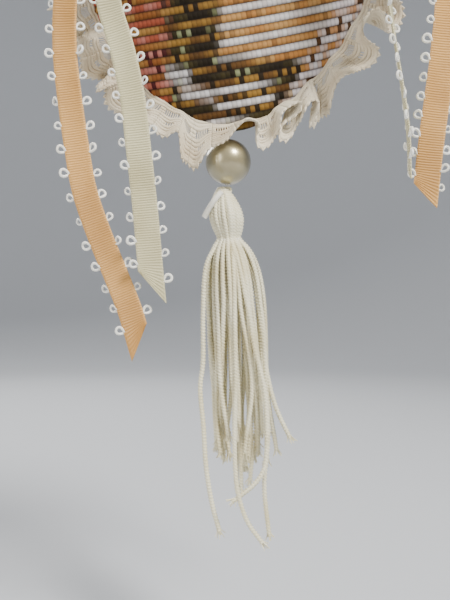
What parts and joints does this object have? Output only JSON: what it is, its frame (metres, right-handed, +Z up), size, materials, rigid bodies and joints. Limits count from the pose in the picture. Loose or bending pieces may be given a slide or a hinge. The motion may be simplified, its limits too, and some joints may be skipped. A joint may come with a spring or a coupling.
{
  "type": "souvenir christmas ornament",
  "caption": "Padded tapestry heart on a cord loop, with a gathered lace edge, a double ribbon bow with trailing ends, and a pearl bead and cord tassel at its point.",
  "frame": {"origin": "the inside of the top of the hanging loop, where a hook or branch carries it", "axes": "+Z up along the loop and the tassel, the decorated front faces -Y, +X to the right seen from the front"},
  "size_m": [0.0888, 0.0364, 0.2219],
  "materials": {
    "tapestry": "matte",
    "lace": "matte",
    "wadding": "matte",
    "thread": "matte",
    "cord": "satin",
    "peach_ribbon": "satin",
    "cream_ribbon": "satin",
    "pearl": "gloss",
    "tassel": "satin"
  },
  "bodies": {
    "hanger": {"hanger_cord": "cord"},
    "knot": {"hanger_knot": "cord"},
    "heart": {"front_panel": "tapestry", "back_panel": "tapestry", "stuffing": "wadding", "lace_ruffle": "lace", "gathering_thread": "thread", "closing_stitches": "thread", "hanger_tails": "cord", "bow_knot": "cream_ribbon", "bow_stitches": "thread", "peach_loop_left": "peach_ribbon", "peach_loop_right": "peach_ribbon", "cream_loop_left": "cream_ribbon", "cream_loop_right": "cream_ribbon", "pendant_anchor": "thread"},
    "peach_left": {"peach_tail_left": "peach_ribbon"},
    "cream_left": {"cream_tail_left": "cream_ribbon"},
    "peach_right": {"peach_tail_right": "peach_ribbon"},
    "cream_right": {"cream_tail_right": "cream_ribbon"},
    "thread": {"pendant_thread": "thread"},
    "pearl": {"pearl_bead": "pearl"},
    "eye": {"tassel_eye": "tassel"},
    "tassel": {"tassel_head": "tassel", "tassel_tie": "tassel", "tie_end": "thread", "tassel_skirt": "tassel"}
  },
  "joints": [
    {"name": "heart_turn", "type": "hinge", "parent": "hanger", "child": "knot", "pos_m": [0, 0, -0.0608], "axis": [0, 0, 1], "range_deg": [-180, 180]},
    {"name": "heart_swing", "type": "hinge", "parent": "knot", "child": "heart", "pos_m": [0, 0, -0.0642], "axis": [0, 1, 0], "range_deg": [-18, 18]},
    {"name": "peach_left_lift", "type": "hinge", "parent": "heart", "child": "peach_left", "pos_m": [0, -0.0145, -0.068], "axis": [-1, 0, 0], "range_deg": [0, 25]},
    {"name": "cream_left_lift", "type": "hinge", "parent": "peach_left", "child": "cream_left", "pos_m": [0, -0.0145, -0.068], "axis": [-1, 0, 0], "range_deg": [0, 40]},
    {"name": "peach_right_lift", "type": "hinge", "parent": "heart", "child": "peach_right", "pos_m": [0, -0.0145, -0.068], "axis": [-1, 0, 0], "range_deg": [0, 25]},
    {"name": "cream_right_lift", "type": "hinge", "parent": "peach_right", "child": "cream_right", "pos_m": [0, -0.0145, -0.068], "axis": [-1, 0, 0], "range_deg": [0, 40]},
    {"name": "thread_turn", "type": "hinge", "parent": "heart", "child": "thread", "pos_m": [0, 0, -0.129], "axis": [0, 0, 1], "continuous": true},
    {"name": "pearl_spin", "type": "hinge", "parent": "thread", "child": "pearl", "pos_m": [0, 0, -0.1357], "axis": [0, 0, 1], "continuous": true},
    {"name": "tassel_swing_side", "type": "hinge", "parent": "thread", "child": "eye", "pos_m": [0, 0, -0.1411], "axis": [0, 1, 0], "range_deg": [-50, 50]},
    {"name": "tassel_swing_front", "type": "hinge", "parent": "eye", "child": "tassel", "pos_m": [0, 0, -0.1427], "axis": [1, 0, 0], "range_deg": [-50, 50]}
  ]
}
